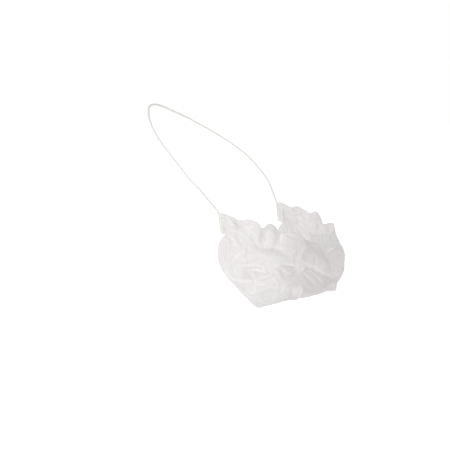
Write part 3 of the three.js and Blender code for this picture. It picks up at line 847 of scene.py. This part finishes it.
def add(tree, kind, inputs=None, **options):
    """A new node with its options. Each of its inputs takes a plain value, an output of another node,
    or another node for its first output."""
    node = tree.nodes.new(kind)
    for name, value in options.items():
        setattr(node, name, value)
    for socket, value in (inputs or {}).items():
        if isinstance(value, bpy.types.Node):
            value = value.outputs[0]
        if isinstance(value, bpy.types.NodeSocket):
            tree.links.new(value, node.inputs[socket])
        else:
            node.inputs[socket].default_value = value
    return node


def calculate(tree, operation, *values):
    """What a Math node gives for plain values, other nodes or their outputs"""
    return add(tree, "ShaderNodeMath", dict(enumerate(values)), operation=operation).outputs[0]


def opaque(shade, strength=1.0):
    """A plain colour as a socket or a ramp takes it, made weaker or stronger"""
    return (*[c * strength for c in shade], 1)


def new_material(name):
    material = bpy.data.materials.new(name)
    material.use_nodes = True
    material.node_tree.nodes.clear()
    return material, material.node_tree


def start_tree(name, kind, inputs, outputs):
    """An empty node tree with (name, kind) sockets. An input may have its default as a third item."""
    tree = bpy.data.node_groups.new(name, kind)
    for way, sockets in (("INPUT", inputs), ("OUTPUT", outputs)):
        for socket, form, *default in sockets:
            made = tree.interface.new_socket(socket, in_out=way, socket_type="NodeSocket" + form)
            if default:
                made.default_value = default[0]
    return tree, tree.nodes.new("NodeGroupInput").outputs


def use_effect(tree, name, inputs):
    """Places a shared effect in a material and returns what it puts out"""
    return add(tree, "ShaderNodeGroup", inputs, node_tree=bpy.data.node_groups[name]).outputs


def attribute(tree, name):
    return add(tree, "ShaderNodeAttribute", attribute_name=name).outputs["Fac"]


def mix_colours(tree, factor, first, second, blend="MIX"):
    return add(tree, "ShaderNodeMix", {"Factor": factor, "A": first, "B": second}, data_type="RGBA",
               blend_type=blend).outputs["Result"]


def ramp_colours(tree, level, *stops):
    """Colours that follow a level, from (place, colour) pairs in rising order"""
    ramp = add(tree, "ShaderNodeValToRGB", {0: level})
    elements = ramp.color_ramp.elements
    for _ in stops[2:]:
        elements.new(1.0)
    for element, (place, shade) in zip(elements, stops):
        element.position = place
        element.color = shade
    return ramp.outputs[0]


def bumped(tree, height, strength, distance):
    return add(tree, "ShaderNodeBump", {"Height": height, "Strength": strength, "Distance": distance})


def fibre_web_effect():
    """Swirling filaments and pressed bond points of a spunbond web, on coordinates in metres"""
    group, start = start_tree("Fibre Web", "ShaderNodeTree", [
        ("Vector", "Vector"), ("Bond Pitch", "Float", BOND_PITCH), ("Cloudiness", "Float", 0.5)],
        [("Web", "Float"), ("Bond", "Float"), ("Height", "Float")])
    cloud = add(group, "ShaderNodeTexNoise", {"Vector": start["Vector"], "Scale": 160, "Detail": 3})
    strands = []
    for turn, fineness in FILAMENTS:
        turned = add(group, "ShaderNodeMapping", {
            "Vector": start["Vector"], "Rotation": (0, 0, turn), "Scale": (1.0, 0.16, 1.0)})
        strand = add(group, "ShaderNodeTexNoise", {
            "Vector": turned, "Scale": fineness, "Detail": 2, "Distortion": 1.5})
        strands.append(strand.outputs["Fac"])
    cloudy = calculate(group, "MULTIPLY", cloud.outputs["Fac"], start["Cloudiness"])
    web = calculate(group, "MULTIPLY_ADD", calculate(group, "MAXIMUM", *strands), 0.6, cloudy)

    lattice = add(group, "ShaderNodeMapping", {
        "Vector": start["Vector"], "Rotation": (0, 0, math.radians(45))})
    spread = add(group, "ShaderNodeVectorMath", {0: lattice, 1: start["Bond Pitch"]}, operation="DIVIDE")
    cells = add(group, "ShaderNodeTexVoronoi", {"Vector": spread, "Scale": 1, "Randomness": 0},
                voronoi_dimensions="2D")
    edge = add(group, "ShaderNodeMapRange", {
        "Value": cells.outputs["Distance"], "From Min": 0.34, "From Max": 0.22},
        interpolation_type="SMOOTHSTEP")
    bond = edge.outputs["Result"]
    height = calculate(group, "ADD", web, calculate(group, "MULTIPLY", bond, -0.7))
    add(group, "NodeGroupOutput", {"Web": web, "Bond": bond, "Height": height})


def fine_crumple_effect():
    """Fine papery creases as a height, on coordinates in metres"""
    group, start = start_tree("Fine Crumple", "ShaderNodeTree", [
        ("Vector", "Vector"), ("Scale", "Float", 160.0)], [("Height", "Float")])
    warp = add(group, "ShaderNodeTexNoise", {"Vector": start["Vector"], "Scale": 90})
    bent = add(group, "ShaderNodeVectorMath", {
        0: warp.outputs["Color"], 1: (6 * MM, 6 * MM, 6 * MM), 2: start["Vector"]},
        operation="MULTIPLY_ADD")
    cells = add(group, "ShaderNodeTexVoronoi", {"Vector": bent, "Scale": start["Scale"]},
                voronoi_dimensions="2D", feature="DISTANCE_TO_EDGE")
    height = calculate(group, "POWER", cells.outputs["Distance"], 0.6)
    add(group, "NodeGroupOutput", {"Height": height})


def cloth_material(settings):
    """Thin white nonwoven: fibrous, bond-pointed and partly see-through, with painted highlights on its
    crests and painted shade in its creases and on its shaded stretches
    """
    material, tree = new_material("white_nonwoven")
    place = add(tree, "ShaderNodeUVMap", uv_map="UVMap")
    web = use_effect(tree, "Fibre Web", {"Vector": place, "Bond Pitch": BOND_PITCH, "Cloudiness": 0.4})
    crumple = use_effect(tree, "Fine Crumple", {"Vector": place, "Scale": 150})

    # Painted light: crests get a painted highlight and creases get painted shade, from the stored crease
    # mask
    creases = ramp_colours(tree, attribute(tree, "depth"), (0.0, opaque(settings.white, 1.1)),
                           (0.5, opaque(settings.white)), (1.0, opaque(settings.shade)))
    # Painted shade over the dome, the hollow under it and the other shaded stretches
    duller = opaque([painted_shade_colour / white for painted_shade_colour, white in zip(settings.painted_shade_colour, settings.white)])
    painted_shade_tone = mix_colours(tree, attribute(tree, "layers"), creases, duller, "MULTIPLY")
    bonds = calculate(tree, "MULTIPLY", web["Bond"], 0.12)
    tone = mix_colours(tree, bonds, painted_shade_tone, opaque(settings.shade))

    fine = bumped(tree, web["Height"], 0.6, 0.08 * MM)
    relief = bumped(tree, crumple["Height"], 0.22, 0.5 * MM)
    tree.links.new(fine.outputs[0], relief.inputs["Normal"])
    cloth = add(tree, "ShaderNodeBsdfPrincipled", {
        "Roughness": 0.85, "Specular IOR Level": 0.25, "Sheen Weight": 0.15,
        "Base Color": tone, "Normal": relief})
    glow = add(tree, "ShaderNodeBsdfTranslucent", {"Color": tone, "Normal": relief})
    thin = add(tree, "ShaderNodeMixShader", {"Fac": 0.38, 1: cloth, 2: glow})
    open_web = add(tree, "ShaderNodeMapRange", {
        "Value": web["Web"], "From Min": 0.35, "From Max": 0.85, "To Min": 0.3, "To Max": 0.02})
    clear = add(tree, "ShaderNodeBsdfTransparent")
    sheer = add(tree, "ShaderNodeMixShader", {"Fac": open_web.outputs["Result"], 1: thin, 2: clear})
    add(tree, "ShaderNodeOutputMaterial", {"Surface": sheer})
    return material


def yarn_material(settings):
    """Braided yarn, with painted shade in its grooves and its full colour on its crowns"""
    material, tree = new_material("cream_braid")
    place = add(tree, "ShaderNodeTexCoord").outputs["Object"]
    fibres = add(tree, "ShaderNodeTexNoise", {"Vector": place, "Scale": 3000, "Detail": 2}).outputs["Fac"]
    level = calculate(tree, "MULTIPLY_ADD", fibres, 0.35, attribute(tree, "yarn"))
    # Painted shade: the grooves between the yarns are painted darker than the crowns
    tone = ramp_colours(tree, level, (0.1, opaque(settings.colour, 0.72)), (0.9, opaque(settings.colour)))
    relief = bumped(tree, fibres, 0.4, 0.05 * MM)
    shader = add(tree, "ShaderNodeBsdfPrincipled", {
        "Roughness": 0.8, "Sheen Weight": 0.2, "Base Color": tone, "Normal": relief})
    add(tree, "ShaderNodeOutputMaterial", {"Surface": shader})
    return material


def weld_material(settings):
    """Cloth pressed and welded: denser, slightly glossy and faintly marked"""
    material, tree = new_material("welded_nonwoven")
    place = add(tree, "ShaderNodeTexCoord").outputs["Object"]
    web = use_effect(tree, "Fibre Web", {"Vector": place, "Bond Pitch": BOND_PITCH, "Cloudiness": 0.3})
    tone = mix_colours(tree, web["Web"], opaque(settings.colour), opaque(settings.colour, 0.9))
    relief = bumped(tree, web["Height"], 0.5, 0.08 * MM)
    shader = add(tree, "ShaderNodeBsdfPrincipled", {
        "Roughness": 0.6, "Subsurface Weight": 0.5, "Subsurface Radius": (1, 1, 1),
        "Subsurface Scale": 1.5 * MM, "Base Color": tone, "Normal": relief})
    add(tree, "ShaderNodeOutputMaterial", {"Surface": shader})
    return material


def start_maker(name, *inputs):
    """An empty Geometry Nodes tree that takes a geometry, the given inputs and a material"""
    geometry = ("Geometry", "Geometry")
    return start_tree(name, "GeometryNodeTree", [geometry, *inputs, ("Material", "Material")], [geometry])


def end_maker(tree, geometry, material):
    """Ends a Geometry Nodes tree with a smooth and real geometry of one material"""
    smooth = add(tree, "GeometryNodeSetShadeSmooth", {0: geometry})
    real = add(tree, "GeometryNodeRealizeInstances", {0: smooth})
    finish = add(tree, "GeometryNodeSetMaterial", {"Geometry": real, "Material": material})
    add(tree, "NodeGroupOutput", {0: finish})


def keep_on(tree, geometry, name, value):
    """Keeps a value on a curve's points. Returns the curve and the kept value."""
    keep = add(tree, "GeometryNodeCaptureAttribute", {"Geometry": geometry})
    keep.capture_items.new("FLOAT", name)
    tree.links.new(value, keep.inputs[name])
    return keep.outputs["Geometry"], keep.outputs[name]


def set_inputs(modifier, **values):
    """Sets a Geometry Nodes modifier's inputs by their sockets' identifiers"""
    for item in modifier.node_group.interface.items_tree:
        name = item.name.replace(" ", "_").lower()
        if item.in_out == "INPUT" and name in values:
            modifier[item.identifier] = values[name]


# Floor, light and camera

def way_to(azimuth, elevation):
    """Direction from the part at an azimuth, 0 at the front, and an elevation"""
    return Vector((math.sin(azimuth) * math.cos(elevation), -math.cos(azimuth) * math.cos(elevation),
                   math.sin(elevation)))


def stand_off(name, data, target, away, distance):
    """Places a camera or lamp at a distance from its target, and turns it there"""
    placed = new_object(name, data)
    placed.location = target + away * distance
    placed.rotation_euler = away.to_track_quat("Z", "Y").to_euler()
    return placed


class BEARDNET_OT_stage(bpy.types.Operator):
    """Adds the camera, the pale floor and the soft lights"""
    bl_idname = "beardnet.stage"
    bl_label = "Add Stage"

    def execute(self, context):
        stage = context.scene.beardnet_stage
        lens = bpy.data.cameras.new("camera")
        lens.sensor_width = SENSOR_WIDTH
        lens.lens = stage.lens
        away = way_to(stage.azimuth, stage.elevation)
        context.scene.camera = stand_off("camera", lens, AIM, away, stage.distance)

        mesh = bpy.data.meshes.new("floor")
        corners = [(-1, -1), (1, -1), (1, 1), (-1, 1)]
        mesh.from_pydata([(x * FLOOR_REACH, y * FLOOR_REACH, -stage.floor_drop) for x, y in corners], [],
                         [(0, 1, 2, 3)])
        material, tree = new_material("pale_floor")
        seen = add(tree, "ShaderNodeLightPath").outputs["Is Camera Ray"]
        shader = add(tree, "ShaderNodeBsdfPrincipled", {
            "Base Color": (0.9, 0.9, 0.9, 1), "Roughness": 0.9, "Emission Color": (1, 1, 1, 1),
            "Emission Strength": calculate(tree, "MULTIPLY_ADD", seen, SEEN_GLOW, FLOOR_GLOW)})
        add(tree, "ShaderNodeOutputMaterial", {"Surface": shader})
        mesh.materials.append(material)
        floor = new_object("floor", mesh)

        world = bpy.data.worlds.new("white_studio")
        world.use_nodes = True
        tree = world.node_tree
        tree.nodes.clear()
        seen = add(tree, "ShaderNodeLightPath").outputs["Is Camera Ray"]
        strength = calculate(tree, "MULTIPLY_ADD", seen, 1 - stage.sky, stage.sky)
        sky = add(tree, "ShaderNodeBackground", {"Color": (1, 1, 1, 1), "Strength": strength})
        add(tree, "ShaderNodeOutputWorld", {"Surface": sky})
        context.scene.world = world
        context.scene.view_settings.view_transform = "Standard"

        for lamp in LAMPS:
            light = bpy.data.lights.new(lamp.name, "AREA")
            light.shape = "SQUARE"
            light.size = lamp.size
            light.energy = stage.key * lamp.share
            away = way_to(math.radians(lamp.azimuth), math.radians(lamp.elevation))
            stand_off(lamp.name, light, Vector(), away, lamp.distance)
        return {"FINISHED"}


# The elastic

def braid_tree():
    """Geometry Nodes that wrap a curve in a braid"""
    tree, start = start_maker("Braided Cord", ("Diameter", "Float"), ("Yarn Pitch", "Float"),
                              ("Yarn Depth", "Float"), ("Yarns", "Float"))

    def op(operation, *values):
        return calculate(tree, operation, *values)

    even = add(tree, "GeometryNodeResampleCurve", {"Curve": start["Geometry"], "Length": BRAID_STEP},
               mode="LENGTH")
    length_along = add(tree, "GeometryNodeSplineParameter").outputs["Length"]
    path, along = keep_on(tree, even, "Along", length_along)
    ring = add(tree, "GeometryNodeCurvePrimitiveCircle", {
        "Resolution": BRAID_SIDES, "Radius": op("MULTIPLY", start["Diameter"], 0.5)})
    corner = add(tree, "GeometryNodeInputIndex")
    angle = op("MULTIPLY", corner, 2 * math.pi / BRAID_SIDES)
    profile, turn = keep_on(tree, ring, "Turn", angle)
    skin = add(tree, "GeometryNodeCurveToMesh", {
        "Curve": path, "Profile Curve": profile, "Fill Caps": True})

    travel = op("MULTIPLY", op("DIVIDE", along, start["Yarn Pitch"]), 2 * math.pi)
    travel = op("MULTIPLY", travel, start["Yarns"])
    turned = op("MULTIPLY", turn, start["Yarns"])
    one_way = op("SINE", op("ADD", turned, travel))
    other_way = op("SINE", op("SUBTRACT", turned, travel))
    yarn = op("MULTIPLY_ADD", op("MAXIMUM", one_way, other_way), 0.5, 0.5)
    store = add(tree, "GeometryNodeStoreNamedAttribute", {
        "Geometry": skin, "Name": "yarn", "Value": yarn}, data_type="FLOAT", domain="POINT")
    sunk = op("MULTIPLY", op("SUBTRACT", yarn, 1.0), start["Yarn Depth"])
    normal = add(tree, "GeometryNodeInputNormal")
    inwards = add(tree, "ShaderNodeVectorMath", {0: normal, "Scale": sunk}, operation="SCALE")
    shape = add(tree, "GeometryNodeSetPosition", {"Geometry": store, "Offset": inwards})
    end_maker(tree, shape, start["Material"])
    return tree


class BEARDNET_OT_elastic(bpy.types.Operator):
    """Adds the braided elastic that joins the two seams round the back"""
    bl_idname = "beardnet.elastic"
    bl_label = "Add Elastic"

    def execute(self, context):
        settings = context.scene.beardnet_elastic
        right = [Vector(point) * MM for point in ELASTIC_ROUTE_MM]
        left = [Vector((-point.x, point.y, point.z)) for point in reversed(right)]
        route = right + left
        curve = bpy.data.curves.new("elastic", "CURVE")
        curve.dimensions = "3D"
        curve.resolution_u = 16
        spline = curve.splines.new("BEZIER")
        spline.bezier_points.add(len(route) - 1)
        for knot, place in zip(spline.bezier_points, route):
            knot.co = place
            knot.handle_left_type = "AUTO"
            knot.handle_right_type = "AUTO"
        elastic = new_object("elastic", curve)
        braid = elastic.modifiers.new("Braid", "NODES")
        braid.node_group = braid_tree()
        set_inputs(braid, diameter=settings.diameter, yarn_pitch=settings.yarn_pitch,
                   yarn_depth=settings.yarn_depth, yarns=float(settings.yarns),
                   material=yarn_material(settings))
        piece = new_object("braided_elastic", plain_mesh(elastic))
        bpy.data.objects.remove(elastic)
        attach(piece, "root")
        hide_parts("head_elastic")
        worn = sum((b - a).length for a, b in zip(route, route[1:]))
        tuple(right[ELASTIC_EXIT_POINT])
        [tuple(p) for p in route]
        return {"FINISHED"}


# The pouch

class BEARDNET_OT_pouch(bpy.types.Operator):
    """Adds the ruffled pouch of nonwoven cloth"""
    bl_idname = "beardnet.pouch"
    bl_label = "Add Pouch"

    def execute(self, context):
        settings = context.scene.beardnet_pouch
        at, down, grid = shaped_pouch(settings)
        uv = np.stack([at * settings.flat_length / 2, -down * settings.flat_width], axis=2)
        grid = settled(at, down, grid, settings)
        grid = creased(at, down, grid, settings)
        pouch = new_object("ruffled_pouch", grid_mesh("ruffled_pouch", grid, uv))
        # Masks for the painted highlights and the painted shade of the cloth
        keep_painted_crease_light(pouch.data, grid, at, down)
        keep_value(pouch.data, "layers", painted_shade_share(at, down, settings))
        pouch.data.materials.append(cloth_material(settings))
        wall = pouch.modifiers.new("Wall", "SOLIDIFY")
        wall.thickness = settings.thickness
        wall.offset = 0
        make_plain(pouch)
        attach(pouch, "root")
        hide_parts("pouch")
        return {"FINISHED"}


# The end seams

def squarish(value):
    """Bends a sine or cosine so that a ring of them turns into a rounded square"""
    return math.copysign(abs(value) ** SQUARENESS, value)


def seam_mesh(name, side, settings):
    """The cloth's end folded into pleats and pressed flat: a closed ribbed sleeve, thinner towards the
    cloth"""
    vertices = []
    for level in range(SEAM_LEVELS + 1):
        share = level / SEAM_LEVELS
        rib = (share * settings.pleats + 0.12 * math.sin(9 * share)) % 1
        crown = 1 - abs(2 * rib - 1) ** 2.2
        pinch = min(min(share, 1 - share) / SEAM_ROUNDING, 1.0)
        close = math.sqrt(pinch * (2 - pinch))
        middle = gather_point(share, side) + np.array([0, settings.depth / 2 - settings.lap, 0])
        half_x = (settings.thickness / 2 + settings.rib * crown) * max(close, 0.05)
        half_y = (settings.depth / 2 + settings.rib * crown * 0.6) * max(close, 0.3)
        for k in range(SEAM_SIDES):
            turn = 2 * math.pi * k / SEAM_SIDES
            back = squarish(math.sin(turn)) * half_y
            across = squarish(math.cos(turn)) * half_x * (0.7 + 0.3 * back / half_y)
            tilt = 0.35 * settings.rib * math.sin(5 * turn + 7 * share)
            vertices.append(tuple(middle + np.array([across, back, tilt])))
    faces = [tuple(range(SEAM_SIDES))[::-1],
             tuple(range(SEAM_LEVELS * SEAM_SIDES, (SEAM_LEVELS + 1) * SEAM_SIDES))]
    for first in range(0, SEAM_LEVELS * SEAM_SIDES, SEAM_SIDES):
        for k in range(SEAM_SIDES):
            a, b = first + k, first + (k + 1) % SEAM_SIDES
            faces.append((a, b, b + SEAM_SIDES, a + SEAM_SIDES))
    mesh = bpy.data.meshes.new(name)
    mesh.from_pydata(vertices, [], faces)
    form = bmesh.new()
    form.from_mesh(mesh)
    bmesh.ops.recalc_face_normals(form, faces=form.faces)
    form.to_mesh(mesh)
    form.free()
    mesh.polygons.foreach_set("use_smooth", [True] * len(mesh.polygons))
    return mesh


def weld_tree():
    """Geometry Nodes that add pairs of pressed weld points down one face of a seam"""
    tree, start = start_maker("Weld Points", ("Rows", "Int"), ("First Place", "Vector"),
                              ("Step", "Vector"), ("Weld Size", "Float"))
    line = add(tree, "GeometryNodeMeshLine", {
        "Count": start["Rows"], "Start Location": start["First Place"], "Offset": start["Step"]},
        mode="OFFSET")
    radius = calculate(tree, "MULTIPLY", start["Weld Size"], 0.5)
    spot = add(tree, "GeometryNodeMeshUVSphere", {"Segments": 14, "Rings": 7, "Radius": radius})
    pair = add(tree, "GeometryNodeJoinGeometry")
    for share in (-0.85, 0.85):
        shift = add(tree, "ShaderNodeCombineXYZ", {
            "Y": calculate(tree, "MULTIPLY", start["Weld Size"], share)})
        flat = add(tree, "GeometryNodeTransform", {
            "Geometry": spot.outputs["Mesh"], "Translation": shift, "Scale": (0.3, 1, 1)})
        tree.links.new(flat.outputs[0], pair.inputs[0])
    welds = add(tree, "GeometryNodeInstanceOnPoints", {"Points": line, "Instance": pair})
    both = add(tree, "GeometryNodeJoinGeometry", {0: welds})
    tree.links.new(start["Geometry"], both.inputs[0])
    end_maker(tree, both, start["Material"])
    return tree


class BEARDNET_OT_seams(bpy.types.Operator):
    """Adds the two pleated and welded end seams"""
    bl_idname = "beardnet.seams"
    bl_label = "Add End Seams"

    def execute(self, context):
        settings = context.scene.beardnet_seams
        material = weld_material(settings)
        tree = weld_tree()
        for node, side in (("end_seam_right", -1), ("end_seam_left", 1)):
            name = "pleated_" + node
            piece = new_object(name, seam_mesh(name, side, settings))
            middle = np.array([side * (settings.thickness / 2 + 0.6 * settings.rib),
                               settings.depth / 2 - settings.lap, 0])
            top, bottom = (gather_point(share, side) + middle for share in WELDED_STRETCH)
            welds = piece.modifiers.new("Welds", "NODES")
            welds.node_group = tree
            set_inputs(welds, rows=settings.rows, first_place=top, step=(bottom - top) / (settings.rows - 1),
                       weld_size=settings.weld_size, material=material)
            make_plain(piece)
            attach(piece, "root")
            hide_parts(node)
        return {"FINISHED"}


class BEARDNET_PT_panel(bpy.types.Panel):
    """Sizes, colours and buttons of the beard net"""
    bl_label = "Beard Net"
    bl_idname = "BEARDNET_PT_panel"
    bl_space_type = "VIEW_3D"
    bl_region_type = "UI"
    bl_category = "Beard Net"

    def draw(self, context):
        for settings in SETTINGS:
            box = self.layout.box()
            values = getattr(context.scene, settings)
            for name in values.bl_rna.properties.keys():
                if name not in ("rna_type", "name"):
                    box.prop(values, name)
            box.operator(settings.replace("_", "."))


SETTINGS = {
    "beardnet_stage": BeardNetStage,
    "beardnet_elastic": BeardNetElastic,
    "beardnet_pouch": BeardNetPouch,
    "beardnet_seams": BeardNetSeams,
}
CLASSES = [*SETTINGS.values(), BEARDNET_OT_stage, BEARDNET_OT_elastic, BEARDNET_OT_pouch,
           BEARDNET_OT_seams, BEARDNET_PT_panel]


def register():
    for cls in CLASSES:
        bpy.utils.register_class(cls)
    for name, cls in SETTINGS.items():
        setattr(bpy.types.Scene, name, bpy.props.PointerProperty(type=cls))


def unregister():
    for name in SETTINGS:
        delattr(bpy.types.Scene, name)
    for cls in reversed(CLASSES):
        bpy.utils.unregister_class(cls)


def main():
    register()
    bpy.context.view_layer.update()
    fibre_web_effect()
    fine_crumple_effect()
    bpy.ops.beardnet.stage()
    bpy.ops.beardnet.elastic()
    bpy.ops.beardnet.pouch()
    bpy.ops.beardnet.seams()


if __name__ == "__main__":
    main()
